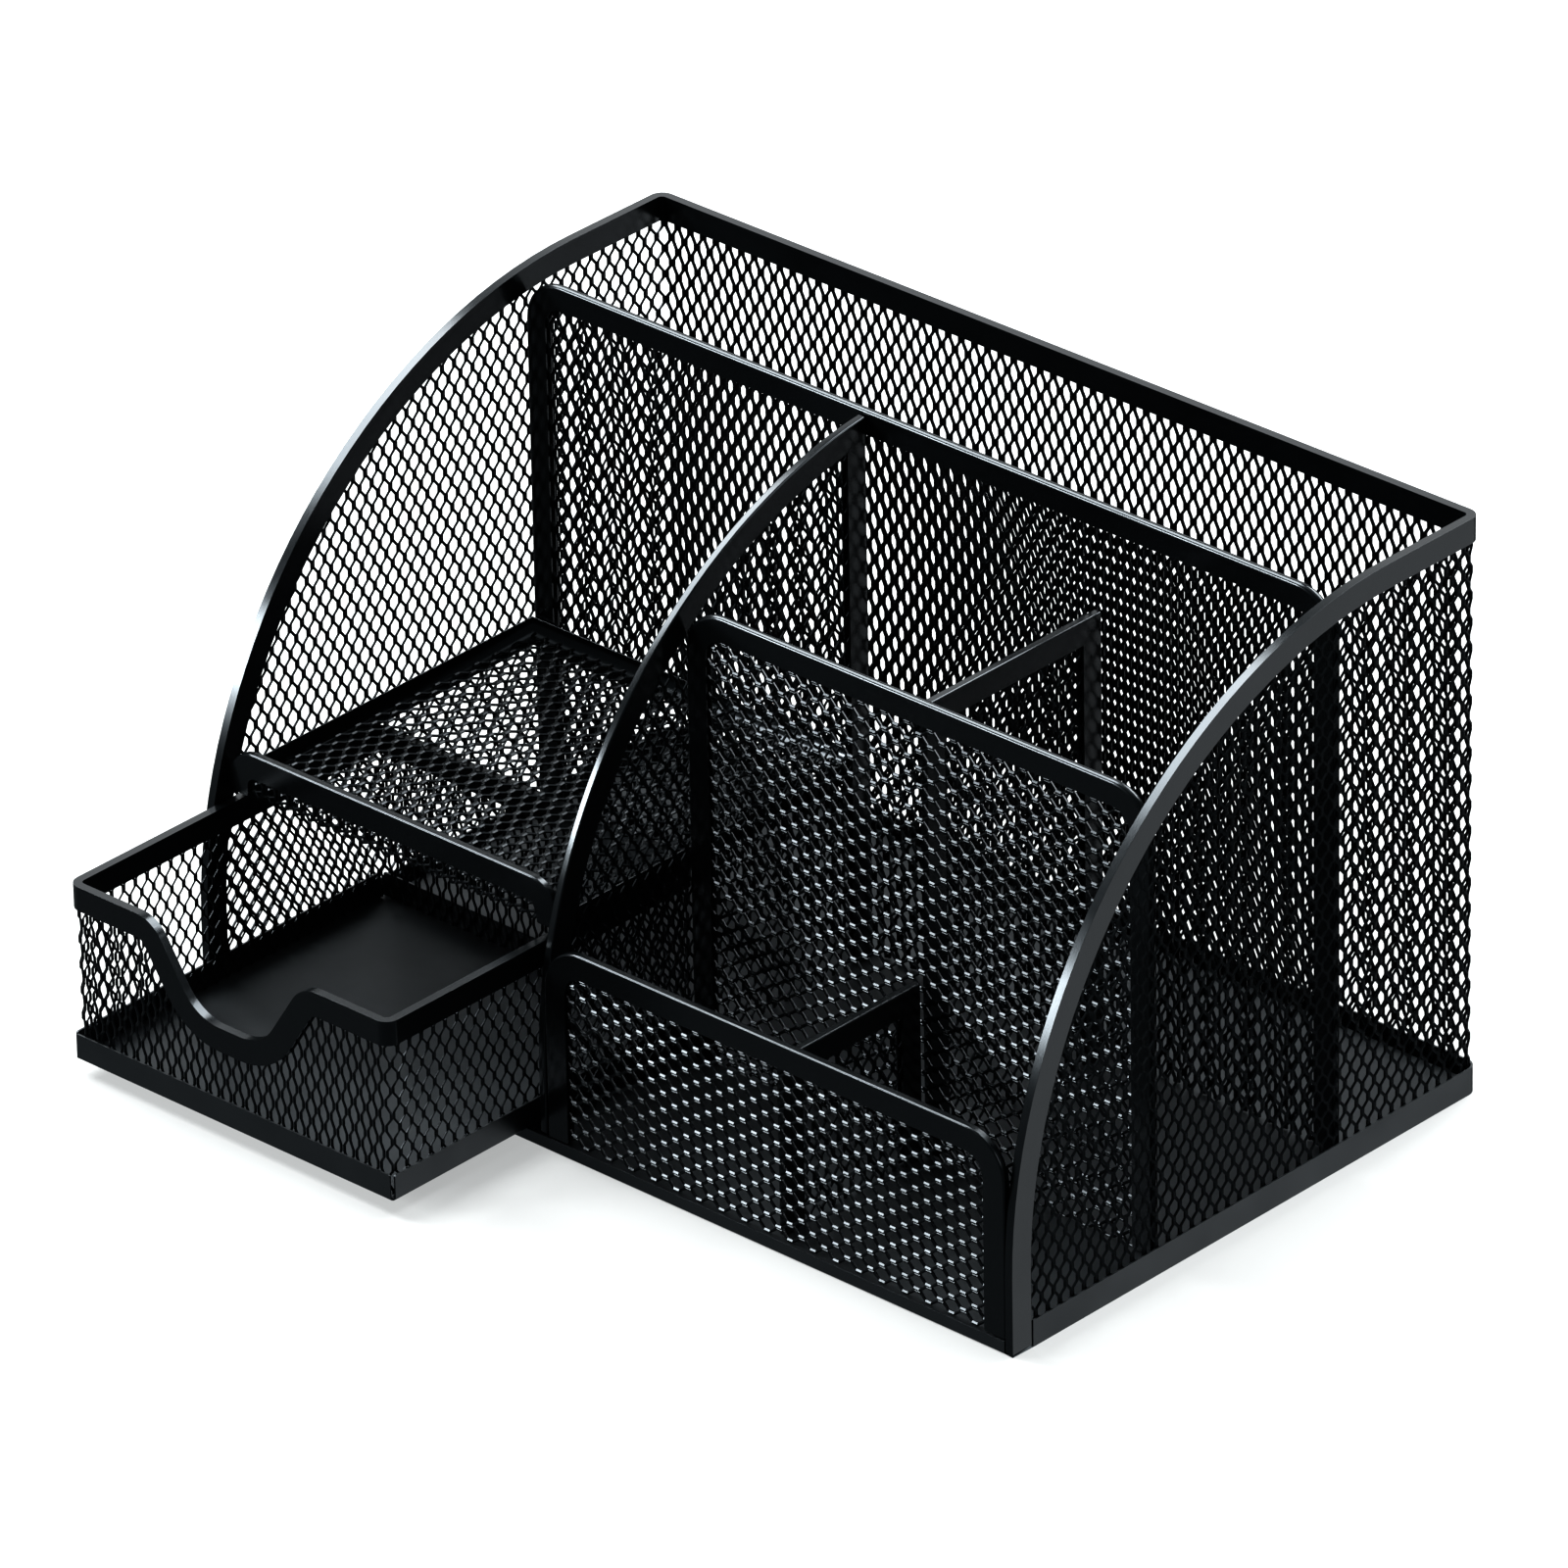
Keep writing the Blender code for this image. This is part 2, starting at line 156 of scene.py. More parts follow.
# %% Repeat the pair into a sheet
COLUMN_ROUNDING = 0.49  # a part-filled column counts as a whole one, a hair's breadth doesn't


def repeat(obj, step, count):
    pick(obj)
    bpy.ops.object.modifier_add(type="ARRAY")
    array = obj.modifiers[-1]
    array.use_relative_offset = False
    array.use_constant_offset = True
    array.constant_offset_displace = step
    array.count = count
    array.use_merge_vertices = True
    array.merge_threshold = 0.001 * MM
    bpy.ops.object.modifier_apply(modifier=array.name)


def expanded_sheet(
    name, length, height, long_way, short_way, keep, cuts=(), upright=True, start=0.0, width=STRAND_WIDTH
):
    """A flat sheet, X along its wall and Y up it, trimmed to the segments whose middle keep() accepts."""
    tilt = UPRIGHT_TILT if upright else LYING_TILT
    pair = ribbon_pair(name, long_way, short_way, tilt, width)
    reach_long = height if upright else length
    reach_short = length if upright else height
    repeat(pair, (0, long_way, 0), math.ceil(reach_long / long_way) + 2)
    repeat(pair, (short_way, 0, 0), round(reach_short / short_way + COLUMN_ROUNDING))
    shift = Matrix.Translation((start, -long_way, 0))
    if not upright:
        shift = Matrix.Translation((-long_way, height, 0)) @ Matrix.Rotation(-math.pi / 2, 4, "Z")
    pair.data.transform(shift)

    centres = np.empty(len(pair.data.polygons) * 3)
    pair.data.polygons.foreach_get("center", centres)
    u, v, _ = centres.reshape(-1, STRAND_SIDES, 3).mean(axis=1).T
    unwanted = np.repeat(~keep(u, v), STRAND_SIDES)
    pick(pair)
    bpy.ops.object.mode_set(mode="EDIT")
    bpy.ops.mesh.select_mode(type="FACE")
    bpy.ops.mesh.select_all(action="DESELECT")
    bpy.ops.object.mode_set(mode="OBJECT")
    pair.data.polygons.foreach_set("select", unwanted)
    bpy.ops.object.mode_set(mode="EDIT")
    bpy.ops.mesh.delete(type="FACE")
    for place, inward in cuts:
        bpy.ops.mesh.select_all(action="SELECT")
        bpy.ops.mesh.bisect(plane_co=place, plane_no=inward, clear_inner=True)
    bpy.ops.mesh.select_all(action="SELECT")
    bpy.ops.mesh.fill_holes(sides=STRAND_SIDES + 4)
    bpy.ops.object.mode_set(mode="OBJECT")
    bpy.ops.object.shade_flat()
    return pair


# %% [markdown]
# ## Wrapping a flat sheet round its walls
#
# The real mesh is one length bent round the corners, so the diamonds run on without a seam. The
# sheet is modelled flat, and each point is then moved: its X says how far along the wall's plan it
# goes, its Y how high, and its Z how far it stands out of the wall.

# %% Lay a sheet along a path
BEND_STEPS = 8


def rounded_path(corners, radius, closed=False):
    """The corners joined by straight runs, with each turn eased over this radius."""
    count = len(corners)
    turns = range(count) if closed else range(1, count - 1)
    points = [] if closed else [corners[0]]
    for i in turns:
        corner = corners[i]
        before = corner + (corners[i - 1] - corner).normalized() * radius
        after = corner + (corners[(i + 1) % count] - corner).normalized() * radius
        middle = before + after - corner
        normal = (before - middle).cross(after - middle).normalized()
        for step in range(BEND_STEPS + 1):
            turn = Matrix.Rotation(step / BEND_STEPS * math.pi / 2, 3, normal)
            points.append(middle + turn @ (before - middle))
    points.append(points[0] if closed else corners[-1])
    return points


def path_length(points):
    return sum((b - a).length for a, b in zip(points, points[1:]))


def lay_along(sheet, points, up, closed=False):
    """Moves a flat sheet's points on to the path, at their height above it and distance out of it."""
    place = np.array([tuple(p) for p in points])
    runs = np.diff(place, axis=0)
    lengths = np.linalg.norm(runs, axis=1)
    along = np.concatenate([[0], np.cumsum(lengths)])
    headings = runs / lengths[:, None]
    before = np.vstack([headings[-1] if closed else headings[0], headings])
    after = np.vstack([headings, headings[0] if closed else headings[-1]])
    outward = np.cross(before + after, np.array(up))
    outward /= np.linalg.norm(outward, axis=1)[:, None]
    co = np.empty(len(sheet.data.vertices) * 3)
    sheet.data.vertices.foreach_get("co", co)
    u, v, w = co.reshape(-1, 3).T
    if closed:
        u = u % along[-1]
    spot = np.stack([np.interp(u, along, place[:, k]) for k in range(3)], axis=1)
    facing = np.stack([np.interp(u, along, outward[:, k]) for k in range(3)], axis=1)
    moved = spot + v[:, None] * np.array(up) + w[:, None] * facing
    sheet.data.vertices.foreach_set("co", moved.ravel())
    sheet.data.update()


# %% [markdown]
# ## What a sheet is trimmed to
#
# Each panel hides its raw edge in a fold 5.5 mm deep, so the mesh may stop anywhere inside it. The
# outline is the plain sheet's own, less a margin, with the same rounded shoulders. It is a function
# of place and not a cutter object, which is exact and quick on thousands of segments.

# %% Outlines that a sheet is trimmed to
STRAND_MARGIN = 1.0 * MM  # so that cut ends stop inside the fold
PANEL_CORNER = 9.3 * MM  # the panels' rounded shoulders, at the sheet's edge


def inside_arch(left, right, top, radius):
    """Below the top and between the sides, with rounded shoulders, all less the margin."""
    left, right, top = left + STRAND_MARGIN, right - STRAND_MARGIN, top - STRAND_MARGIN
    radius = radius - STRAND_MARGIN

    def keep(u, v):
        shoulder = np.minimum(u - left, right - u)
        dx = np.maximum(radius - shoulder, 0)
        dy = np.maximum(v - (top - radius), 0)
        return (shoulder > 0) & (v < top) & (dx**2 + dy**2 < radius**2)

    return keep


# %% Mesh sizes, and the mesh pieces by name
UPRIGHT_LONG = 5.85 * MM
UPRIGHT_SHORT = 3.55 * MM
LYING_LONG = 6.1 * MM
LYING_SHORT = 3.8 * MM
SHELF_SHORT = 3.6 * MM
DRAWER_SHORT = 3.4 * MM
FOOT_CUT = ((0, 0, 0), (0, 1, 0))
UP = Vector((0, 0, 1))
meshes = {}


def keep_mesh(node, body, piece):
    """Puts this mesh in place of the frame's plain sheet, on the body that the sheet moves with."""
    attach(piece, body)
    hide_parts(node)
    meshes[piece.name] = piece
    print(f"{piece.name}: {triangles(piece)} triangles")


# %% [markdown]
# ## The flat panels
#
# Five panels stand across or along the housing under a folded strip: each takes its width, height
# and place from its plain sheet in the frame. The panels that face the front have their diamonds
# lying down, and the others have them upright.

# %% Flat panels
SQUARE_CORNER = 1.1 * STRAND_MARGIN


def flat_panel(node, long_way, short_way, upright, radius):
    low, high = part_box(node)
    middle = (low + high) / 2
    wide = high.x - low.x > high.y - low.y
    start = Vector((low.x, middle.y, low.z)) if wide else Vector((middle.x, low.y, low.z))
    end = Vector((high.x, middle.y, low.z)) if wide else Vector((middle.x, high.y, low.z))
    length = (end - start).length
    height = high.z - low.z
    keep = inside_arch(0, length, height, radius)
    name = node.replace("_mesh", "_expanded_mesh")
    sheet = expanded_sheet(name, length, height, long_way, short_way, keep, [FOOT_CUT], upright)
    lay_along(sheet, [start, end], UP)
    keep_mesh(node, "housing", sheet)


flat_panel("rear_divider_mesh", UPRIGHT_LONG, UPRIGHT_SHORT, True, PANEL_CORNER)
flat_panel("middle_divider_mesh", LYING_LONG, LYING_SHORT, False, PANEL_CORNER)
flat_panel("front_panel_mesh", LYING_LONG, LYING_SHORT, False, PANEL_CORNER)
flat_panel("rear_bay_divider_mesh", UPRIGHT_LONG, UPRIGHT_SHORT, True, SQUARE_CORNER)
flat_panel("front_bay_divider_mesh", UPRIGHT_LONG, UPRIGHT_SHORT, True, SQUARE_CORNER)

# %% [markdown]
# ## The quarter-round sheets
#
# The side walls and the centre divider follow a quarter circle at the front and run level at the
# top. Their outline is a height at each distance from the front.

# %% Centre divider
HOUSING_ARC = 112.5 * MM
CENTRE_ARC = 107.2 * MM
CENTRE_CREST = 0.6 * MM  # the arc's crest lies this far above the sheet, past its rear edge
SHEET_INSET = 0.7 * MM  # the sheet's edge inside its fold


def arc_height(u, radius, top):
    """The height of a quarter circle that starts upright at u = 0 and ends level at this top."""
    across = np.clip(radius - u, 0, radius)
    return top - radius + np.sqrt(radius**2 - across**2)


centre_low, centre_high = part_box("centre_divider_mesh")
centre_length = centre_high.y - centre_low.y
centre_height = centre_high.z - centre_low.z


def inside_centre(u, v):
    radius = CENTRE_ARC - SHEET_INSET - STRAND_MARGIN
    top = arc_height(u - STRAND_MARGIN, radius, centre_height + CENTRE_CREST - STRAND_MARGIN)
    return (u > STRAND_MARGIN) & (u < centre_length - STRAND_MARGIN) & (v < top)


centre = expanded_sheet(
    "centre_divider_expanded_mesh",
    centre_length,
    centre_height,
    UPRIGHT_LONG,
    UPRIGHT_SHORT,
    inside_centre,
    [FOOT_CUT],
)
centre_x = (centre_low.x + centre_high.x) / 2
centre_front = Vector((centre_x, centre_low.y, centre_low.z))
centre_rear = Vector((centre_x, centre_high.y, centre_low.z))
lay_along(centre, [centre_front, centre_rear], UP)
keep_mesh("centre_divider_mesh", "housing", centre)

# %% [markdown]
# ## The housing's wall
#
# One sheet runs up the left side, round the back and down the right side. It is made in three
# lengths, so that no mesh grows too heavy, and they share one pitch and one starting point: the
# diamonds pass from one length to the next without a break.

# %% Housing wall, in three lengths of one sheet
WALL_BEND = 2.0 * MM
wall_low, wall_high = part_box("housing_mesh")
wall_x = wall_high.x - SHEET_GAUGE / 2
wall_back = wall_high.y - SHEET_GAUGE / 2
foot = wall_low.z
plan = [
    Vector((-wall_x, wall_low.y, foot)),
    Vector((-wall_x, wall_back, foot)),
    Vector((wall_x, wall_back, foot)),
    Vector((wall_x, wall_low.y, foot)),
]
wall_path = rounded_path(plan, WALL_BEND)
wall_length = path_length(wall_path)
wall_height = wall_high.z - foot


def inside_wall(u, v):
    from_front = np.minimum(u, wall_length - u) - STRAND_MARGIN
    top = arc_height(from_front, HOUSING_ARC - SHEET_INSET - STRAND_MARGIN, wall_height - STRAND_MARGIN)
    return (from_front > 0) & (v < top)


columns = round(wall_length / UPRIGHT_SHORT)
wall_pitch = wall_length / columns
side_columns = int((wall_back - WALL_BEND - wall_low.y) / wall_pitch)
spans = {
    "housing_left_expanded_mesh": (0, side_columns),
    "housing_rear_expanded_mesh": (side_columns, columns - side_columns),
    "housing_right_expanded_mesh": (columns - side_columns, columns),
}
for name, (first, last) in spans.items():
    start = first * wall_pitch
    length = (last - first) * wall_pitch
    sheet = expanded_sheet(
        name, length, wall_height, UPRIGHT_LONG, wall_pitch, inside_wall, [FOOT_CUT], start=start
    )
    lay_along(sheet, wall_path, UP)
    keep_mesh("housing_mesh", "housing", sheet)

# %% [markdown]
# ## The shelf
#
# The shelf is one sheet that runs forward from the rear divider and turns up into its front lip. Its
# path is drawn in the side view, from the back to the lip's top, and the sheet spans it sideways.
# Only the turned-up lip has rounded shoulders, so the arch outline counts near the front alone.

# %% Shelf
SHELF_BEND = 1.2 * MM
SHELF_CORNER = 6.8 * MM
SHELF_LIP_REACH = 12 * MM  # behind this, the shelf has its full width
shelf_low, shelf_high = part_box("shelf_mesh")
shelf_z = shelf_low.z + SHEET_GAUGE / 2
lip_y = shelf_low.y + SHEET_GAUGE / 2
shelf_side = [
    Vector((shelf_low.x, shelf_high.y, shelf_z)),
    Vector((shelf_low.x, lip_y, shelf_z)),
    Vector((shelf_low.x, lip_y, shelf_high.z)),
]
shelf_path = rounded_path(shelf_side, SHELF_BEND)
shelf_length = path_length(shelf_path)
shelf_width = shelf_high.x - shelf_low.x


def inside_shelf(u, v):
    behind_lip = u < shelf_length - SHELF_LIP_REACH
    return inside_arch(0, shelf_width, shelf_length, SHELF_CORNER)(v, u) | behind_lip


shelf = expanded_sheet(
    "shelf_expanded_mesh",
    shelf_length,
    shelf_width,
    UPRIGHT_LONG,
    SHELF_SHORT,
    inside_shelf,
    [FOOT_CUT, ((0, shelf_width, 0), (0, -1, 0)), ((0, 0, 0), (1, 0, 0))],
    upright=False,
)
lay_along(shelf, shelf_path, Vector((1, 0, 0)))
keep_mesh("shelf_mesh", "housing", shelf)

# %% [markdown]
# ## The drawer's wall
#
# The drawer is a closed ring of a lighter mesh, with a scoop in its front for the fingers. The ring
# has no end where a half diamond could hide, so its pitch is eased until a whole number of columns
# fits. The scoop is a height at each distance from the front's middle: two arcs and a straight run.

# %% Drawer wall
DRAWER_BEND = 2.0 * MM
SCOOP_HALF_WIDTH = 25 * MM
SCOOP_FLAT = 3 * MM
SCOOP_DEPTH = 18 * MM
SCOOP_BOTTOM_RADIUS = 11 * MM
SCOOP_TOP_RADIUS = 8 * MM
SCOOP_LEVEL = 0.5 * MM  # the edge counts as slanted once it leaves its top or its bottom by this much
SLANT_MARGIN = 1.3  # a slanted edge needs a wider margin, measured upright
drawer_low, drawer_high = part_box("drawer_mesh")
half_gauge = Vector((SHEET_GAUGE / 2, SHEET_GAUGE / 2, 0))
ring_low = drawer_low + half_gauge
ring_high = drawer_high - half_gauge
drawer_foot = drawer_low.z
ring = [
    Vector((ring_low.x, ring_low.y, drawer_foot)),
    Vector((ring_high.x, ring_low.y, drawer_foot)),
    Vector((ring_high.x, ring_high.y, drawer_foot)),
    Vector((ring_low.x, ring_high.y, drawer_foot)),
]
ring_path = rounded_path(ring, DRAWER_BEND, closed=True)
ring_length = path_length(ring_path)
drawer_height = drawer_high.z - drawer_foot
front_middle = (ring_high.x - ring_low.x) / 2 + math.pi / 2 * DRAWER_BEND - DRAWER_BEND


def scoop_drop(x):
    """How far the drawer front's edge lies below its shoulders, at this distance from its middle."""
    x = np.abs(x)
    reach = SCOOP_HALF_WIDTH - SCOOP_FLAT
    radii = SCOOP_BOTTOM_RADIUS + SCOOP_TOP_RADIUS
    rise = radii - SCOOP_DEPTH
    slope = math.asin(radii / math.hypot(reach, rise)) - math.atan2(rise, reach)
    bottom_end = SCOOP_FLAT + SCOOP_BOTTOM_RADIUS * math.sin(slope)
    top_start = SCOOP_HALF_WIDTH - SCOOP_TOP_RADIUS * math.sin(slope)
    in_bottom = np.clip(x - SCOOP_FLAT, 0, SCOOP_BOTTOM_RADIUS)
    bottom = SCOOP_DEPTH - SCOOP_BOTTOM_RADIUS + np.sqrt(SCOOP_BOTTOM_RADIUS**2 - in_bottom**2)
    in_top = np.clip(SCOOP_HALF_WIDTH - x, 0, SCOOP_TOP_RADIUS)
    top = SCOOP_TOP_RADIUS - np.sqrt(SCOOP_TOP_RADIUS**2 - in_top**2)
    low = SCOOP_DEPTH - SCOOP_BOTTOM_RADIUS * (1 - math.cos(slope))
    high = SCOOP_TOP_RADIUS * (1 - math.cos(slope))
    between = np.interp(x, [bottom_end, top_start], [low, high])
    return np.where(x < bottom_end, bottom, np.where(x < top_start, between, top))


def inside_drawer(u, v):
    drop = scoop_drop(u - front_middle)
    slanted = (drop > SCOOP_LEVEL) & (drop < SCOOP_DEPTH - SCOOP_LEVEL)
    return v < drawer_height - drop - STRAND_MARGIN * np.where(slanted, SLANT_MARGIN, 1)


drawer_columns = round(ring_length / DRAWER_SHORT)
drawer_sheet = expanded_sheet(
    "drawer_expanded_mesh",
    ring_length,
    drawer_height,
    UPRIGHT_LONG,
    ring_length / drawer_columns,
    inside_drawer,
    [FOOT_CUT],
    width=DRAWER_STRAND_WIDTH,
)
lay_along(drawer_sheet, ring_path, UP, closed=True)
keep_mesh("drawer_mesh", "drawer", drawer_sheet)

# %% [markdown]
# ## Folded strip and pressed trays
#
# Steel of 0.4 mm can't be folded sharp: each bend has a small radius, and it is those radii that
# draw the thin bright lines along every edge. The frame's strips have the right section and path
# but sharp folds, so each is copied, its loose triangles are merged back into whole faces, and its
# outer folds are bevelled round. A Weighted Normal modifier keeps the flat faces flat.

# %% Copy a CAD piece and round its folds
FOLD_RADIUS = 0.85 * MM
TRAY_FOLD_RADIUS = 0.45 * MM
FOLD_SEGMENTS = 4
FOLD_FACE = 0.9 * MM  # faces narrower than this are the sheet's cut edge, not a side of a fold
FOLD_ANGLE = math.radians(50)
FLAT_ANGLE = math.radians(1.2)
SMOOTH_ANGLE = math.radians(35)
WELD_DISTANCE = 0.002 * MM
FULL_FACE_WEIGHT = 100


def select_folds(obj):
    """Selects the sharp outward edges between two wide faces, and counts them."""
    count = len(obj.data.edges)
    faces_of = [[] for _ in range(count)]
    index = {edge.key: edge.index for edge in obj.data.edges}
    for face in obj.data.polygons:
        for key in face.edge_keys:
            faces_of[index[key]].append(face)
    chosen = np.zeros(count, dtype=bool)
    vertices = obj.data.vertices
    for edge in obj.data.edges:
        linked = faces_of[edge.index]
        if len(linked) != 2:
            continue
        a, b = linked
        if a.normal.angle(b.normal, 0) < FOLD_ANGLE:
            continue
        if (b.center - a.center).dot(a.normal) > 0:
            continue
        span = (vertices[edge.vertices[1]].co - vertices[edge.vertices[0]].co).length
        chosen[edge.index] = min(a.area, b.area) / span >= FOLD_FACE
    for vertex in vertices:
        vertex.select = False
    for face in obj.data.polygons:
        face.select = False
    for edge, yes in zip(obj.data.edges, chosen):
        edge.select = bool(yes)
        if yes:
            for corner in edge.vertices:
                vertices[corner].select = True
    return int(chosen.sum())


def round_folds(obj, radius):
    bpy.ops.object.mode_set(mode="OBJECT")
    found = select_folds(obj)
    bpy.ops.object.mode_set(mode="EDIT")
    bpy.ops.mesh.select_mode(type="EDGE")
    if found:
        bpy.ops.mesh.bevel(
            offset=radius, offset_type="OFFSET", segments=FOLD_SEGMENTS, profile=0.5, clamp_overlap=True
        )
    bpy.ops.object.mode_set(mode="OBJECT")


def rounded_copy(node, body, fold=FOLD_RADIUS):
    piece = bpy.data.objects.new(node + "_formed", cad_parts[node].data.copy())
    piece.data.materials.clear()
    bpy.context.scene.collection.objects.link(piece)
    pick(piece)
    bpy.ops.object.mode_set(mode="EDIT")
    bpy.ops.mesh.select_all(action="SELECT")
    bpy.ops.mesh.remove_doubles(threshold=WELD_DISTANCE)
    bpy.ops.mesh.dissolve_limited(angle_limit=FLAT_ANGLE)
    bpy.ops.mesh.select_mode(type="EDGE")
    bpy.ops.mesh.select_all(action="DESELECT")
    round_folds(piece, fold)
    bpy.ops.object.shade_smooth_by_angle(angle=SMOOTH_ANGLE)
    bpy.ops.object.modifier_add(type="WEIGHTED_NORMAL")
    weighted = piece.modifiers[-1]
    weighted.keep_sharp = True
    weighted.weight = FULL_FACE_WEIGHT
    bpy.ops.object.modifier_apply(modifier=weighted.name)
    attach(piece, body)
    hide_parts(node)
    print(f"{piece.name}: {triangles(piece)} triangles")
    return piece


# %% Form the strips and the two trays
strips = []
for node in sorted(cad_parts):
    if node.endswith("_rim") or node.endswith("_strip"):
        body = "drawer" if node.startswith("drawer") else "housing"
        strips.append(rounded_copy(node, body))
trays = [
    rounded_copy("base_tray", "housing", TRAY_FOLD_RADIUS),
    rounded_copy("drawer_tray", "drawer", TRAY_FOLD_RADIUS),
]

# %% [markdown]
# ## Powder coat
#
# The finish is a thermoset powder, sprayed on dry and baked. It flows out into a film of about
# 70 microns: deep black, satin, with a faint orange peel. Roughness sets how wide the highlights
# are, and a very shallow bump breaks them up. One function makes it for the three kinds of steel,
# which take the powder differently: a fine strand holds little and looks duller than a folded strip,
# and a pressed floor is broad enough for its grain to blur what it mirrors.

# %% Colour and node helpers
def linear(hex_colour):
    """An sRGB hex colour as linear RGBA."""
    parts = [int(hex_colour[i : i + 2], 16) / 255 for i in (1, 3, 5)]
    return (*[c / 12.92 if c <= 0.04045 else ((c + 0.055) / 1.055) ** 2.4 for c in parts], 1)


def add_node(tree, kind, settings=None, **links):
    """Adds a node, sets its properties and inputs, and links the inputs given another node's output."""
    node = tree.nodes.new(kind)
    for key, value in (settings or {}).items():
        if key in node.inputs:
            node.inputs[key].default_value = value
        else:
            setattr(node, key, value)
    for key, output in links.items():
        tree.links.new(output, node.inputs[key])
    return node


def new_material(name):
    material = bpy.data.materials.new(name)
    material.use_nodes = True
    tree = material.node_tree
    return material, tree, tree.nodes["Principled BSDF"]


# %% Powder-coated steel
PEEL_SIZE = 1.6 * MM  # drawn coarser than real peel, which is too fine to show
MOTTLE_SIZE = 14 * MM
MOTTLE_SPREAD = 0.04  # how far the roughness drifts each way
MOTTLE_RANGE = (0.3, 0.7)  # where most of the noise lies
COATING_IOR = 1.5
COOL_SHEEN = "#e9f6ff"  # black powder mirrors white light a touch blue


def powder_coat(name, colour, roughness, gloss, peel_depth):
    material, tree, shader = new_material(name)
    shader.inputs["Base Color"].default_value = linear(colour)
    shader.inputs["IOR"].default_value = COATING_IOR
    shader.inputs["Specular IOR Level"].default_value = gloss
    shader.inputs["Specular Tint"].default_value = linear(COOL_SHEEN)
    place = add_node(tree, "ShaderNodeTexCoord").outputs["Object"]
    peel = add_node(tree, "ShaderNodeTexNoise", {"Scale": 1 / PEEL_SIZE, "Detail": 2.0}, Vector=place)
    mottle = add_node(tree, "ShaderNodeTexNoise", {"Scale": 1 / MOTTLE_SIZE, "Detail": 3.0}, Vector=place)
    low, high = MOTTLE_RANGE
    drift = {
        "From Min": low,
        "From Max": high,
        "To Min": roughness - MOTTLE_SPREAD,
        "To Max": roughness + MOTTLE_SPREAD,
    }
    spread = add_node(tree, "ShaderNodeMapRange", drift, Value=mottle.outputs["Fac"])
    bump = add_node(
        tree, "ShaderNodeBump", {"Strength": 1.0, "Distance": peel_depth}, Height=peel.outputs["Fac"]
    )
    tree.links.new(spread.outputs["Result"], shader.inputs["Roughness"])
    tree.links.new(bump.outputs["Normal"], shader.inputs["Normal"])
    return material


# Thin strands: near black, with small glints only where a flat faces a lamp
MESH_COAT = powder_coat("powder_coated_expanded_steel", "#090b0c", 0.20, 0.21, 0.002 * MM)
# Folded strip: black faces, and a fine bright line along every rounded fold
STRIP_COAT = powder_coat("powder_coated_folded_steel", "#07090a", 0.21, 0.34, 0.003 * MM)
# Pressed floors: a soft grey bloom that fades towards the walls
TRAY_COAT = powder_coat("powder_coated_pressed_steel", "#0c0e0f", 0.42, 0.50, 0.003 * MM)
for piece in meshes.values():
    piece.data.materials.clear()
    piece.data.materials.append(MESH_COAT)
for piece in strips:
    piece.data.materials.append(STRIP_COAT)
for piece in trays:
    piece.data.materials.append(TRAY_COAT)
print("materials:", [m.name for m in (MESH_COAT, STRIP_COAT, TRAY_COAT)])

# %% [markdown]
# ## Studio
#
# Black metal shows its shape only by what it mirrors, so the studio is built from what each surface
# should see. The floor glows a little and is lit to white. It is kept out of the metal's reflections
# and casts no shadow, so the upright faces mirror the dim room and stay black, and a card below the
# floor can reach the right-hand faces. That is a studio trick: on a real white table, the low faces
# would look greyer.

# %% Floor and surround
FLOOR_SIDE = 12
GRAINS_PER_METRE = 900.0
GRAIN_DEPTH = 0.02 * MM
AIM_HEIGHT = 50 * MM
floor_material, floor_tree, floor_shader = new_material("lit_white_acrylic")
floor_shader.inputs["Base Color"].default_value = linear("#7a7c7c")
floor_shader.inputs["Emission Color"].default_value = linear("#fbfdfd")
floor_shader.inputs["Emission Strength"].default_value = 0.35
floor_shader.inputs["Roughness"].default_value = 0.9
floor_grain = add_node(
    floor_tree,
    "ShaderNodeTexNoise",
    {"Scale": GRAINS_PER_METRE},
    Vector=add_node(floor_tree, "ShaderNodeTexCoord").outputs["Object"],
)
floor_bump = add_node(
    floor_tree,
    "ShaderNodeBump",
    {"Strength": 0.2, "Distance": GRAIN_DEPTH},
    Height=floor_grain.outputs["Fac"],
)
floor_tree.links.new(floor_bump.outputs["Normal"], floor_shader.inputs["Normal"])
deselect_all()
bpy.ops.mesh.primitive_plane_add(size=FLOOR_SIDE, location=(0, 0, 0))
floor = bpy.context.active_object
floor.name = "studio_floor"
floor.data.materials.append(floor_material)
floor.visible_glossy = False
floor.visible_shadow = False

world = bpy.data.worlds.new("dim_room")
bpy.context.scene.world = world
world.use_nodes = True
world.node_tree.nodes["Background"].inputs["Color"].default_value = linear("#eef4f8")
world.node_tree.nodes["Background"].inputs["Strength"].default_value = 0.22
housing_low, housing_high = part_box("housing_rim")
HOUSING_MIDDLE = Vector((0, (housing_low.y + housing_high.y) / 2, AIM_HEIGHT))
print("floor:", floor.name, "| world:", world.name, "| aim:", tuple(round(c, 3) for c in HOUSING_MIDDLE))

# %% [markdown]
# ## Lamps
#
# Each lamp is a square softbox aimed at the housing, and is placed where one set of edges mirrors
# it. The left one draws the lines on edges that run across, and the rear one those that run front to
# back. The small one at the front left catches the slanting strands of the front panels. A dim panel
# at the rear left gives the drawer's floor its bloom, and a dim card greys the right-hand faces.

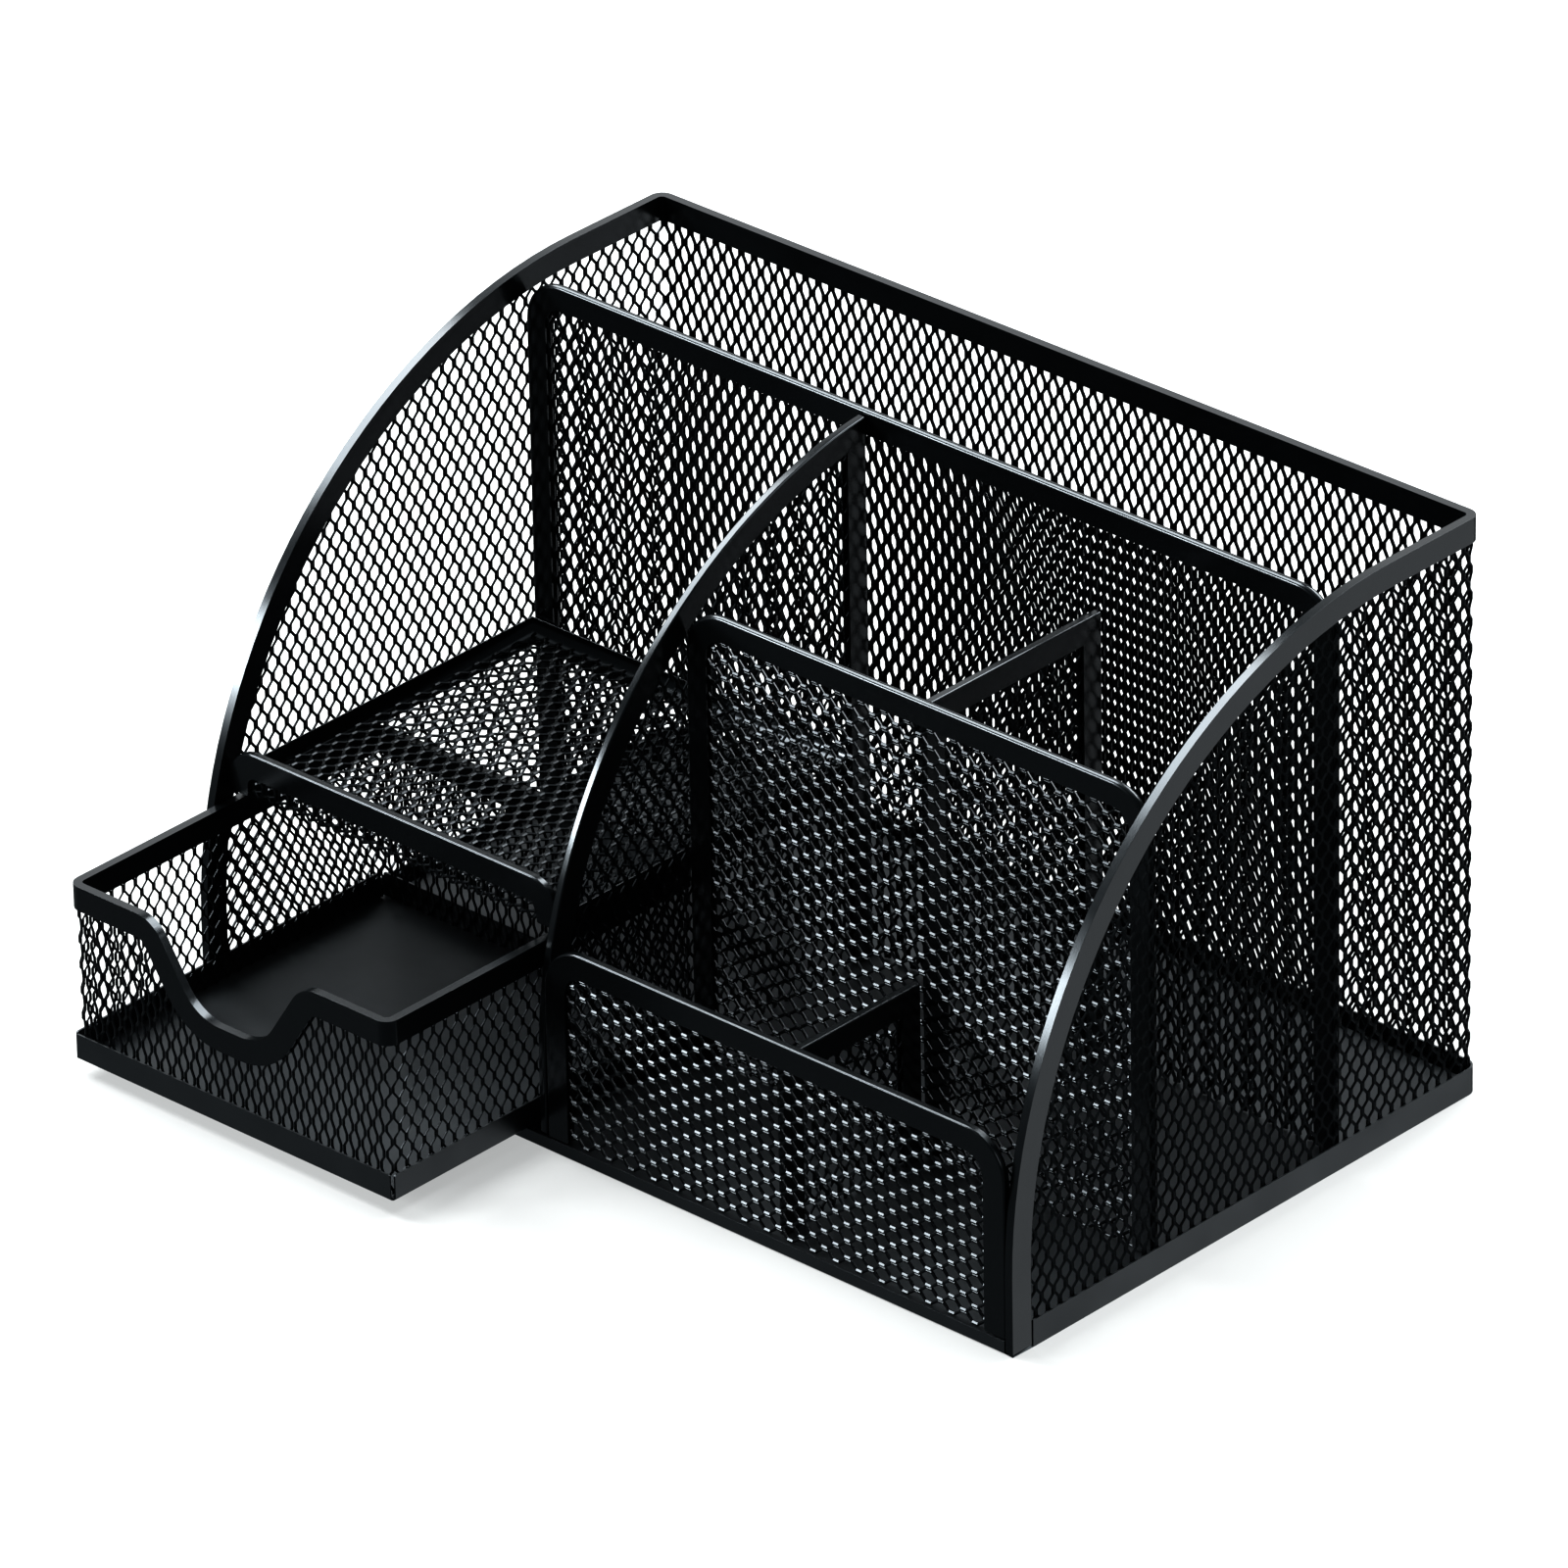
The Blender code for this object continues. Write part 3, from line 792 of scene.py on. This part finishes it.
# %% Lamps
def softbox(name, direction, distance, side, radiance):
    """A square lamp that faces the housing. Its power gives its face this radiance."""
    lamp = bpy.data.lights.new(name, "AREA")
    lamp.shape = "SQUARE"
    lamp.size = side
    lamp.energy = radiance * math.pi * side**2
    obj = bpy.data.objects.new(name, lamp)
    bpy.context.scene.collection.objects.link(obj)
    heading = Vector(direction).normalized()
    obj.location = HOUSING_MIDDLE + heading * distance
    obj.rotation_euler = heading.to_track_quat("Z", "Y").to_euler()
    print(f"{name}: {lamp.energy:.1f} W over {side} m")


softbox("overhead_softbox", (0.05, 0.12, 1), 1.8, 1.3, 1)
softbox("left_lamp", (-0.62, -0.08, 0.78), 1.7, 1.1, 17)
softbox("rear_lamp", (0.10, 0.66, 0.75), 1.7, 1.1, 13)
softbox("front_left_lamp", (-0.61, -0.74, 0.30), 1.7, 0.4, 48)
softbox("rear_left_panel", (-0.60, 0.64, 0.48), 2.2, 1.2, 1.3)
softbox("right_lamp", (0.90, 0.50, 0.45), 1.1, 0.5, 6)
softbox("right_card", (0.60, 0.64, -0.48), 1.7, 1.0, 1.0)

# %% [markdown]
# ## Camera
#
# A long lens from three metres keeps the edges nearly parallel, as in a catalogue picture. The
# camera's place is worked out from two angles about the housing, then rolled and slid a little.

# %% Camera
CAMERA_AZIMUTH = math.radians(43.02)
CAMERA_ELEVATION = math.radians(28.48)
CAMERA_ROLL = math.radians(-1.06)
CAMERA_DISTANCE = 3.0698
CAMERA_SLIDE = (-0.0099, 0.0082)  # to the right and up, in metres
CAMERA_LENS = 352.4
FAR_CLIP = 20
away = Vector(
    (
        math.sin(CAMERA_AZIMUTH) * math.cos(CAMERA_ELEVATION),
        -math.cos(CAMERA_AZIMUTH) * math.cos(CAMERA_ELEVATION),
        math.sin(CAMERA_ELEVATION),
    )
)
level = Vector((math.cos(CAMERA_AZIMUTH), math.sin(CAMERA_AZIMUTH), 0))
upright = away.cross(level)
right = math.cos(CAMERA_ROLL) * level + math.sin(CAMERA_ROLL) * upright
top = math.cos(CAMERA_ROLL) * upright - math.sin(CAMERA_ROLL) * level
camera_data = bpy.data.cameras.new("camera")
camera_data.lens = CAMERA_LENS
camera_data.clip_end = FAR_CLIP
camera = bpy.data.objects.new("camera", camera_data)
bpy.context.scene.collection.objects.link(camera)
spot = HOUSING_MIDDLE + away * CAMERA_DISTANCE + right * CAMERA_SLIDE[0] + top * CAMERA_SLIDE[1]
camera.matrix_world = Matrix.Translation(spot) @ Matrix((right, top, away)).transposed().to_4x4()
bpy.context.scene.camera = camera
bpy.context.scene.view_settings.view_transform = "Standard"
bpy.context.scene.view_settings.look = "High Contrast"
print("camera at", tuple(round(c, 3) for c in camera.location))
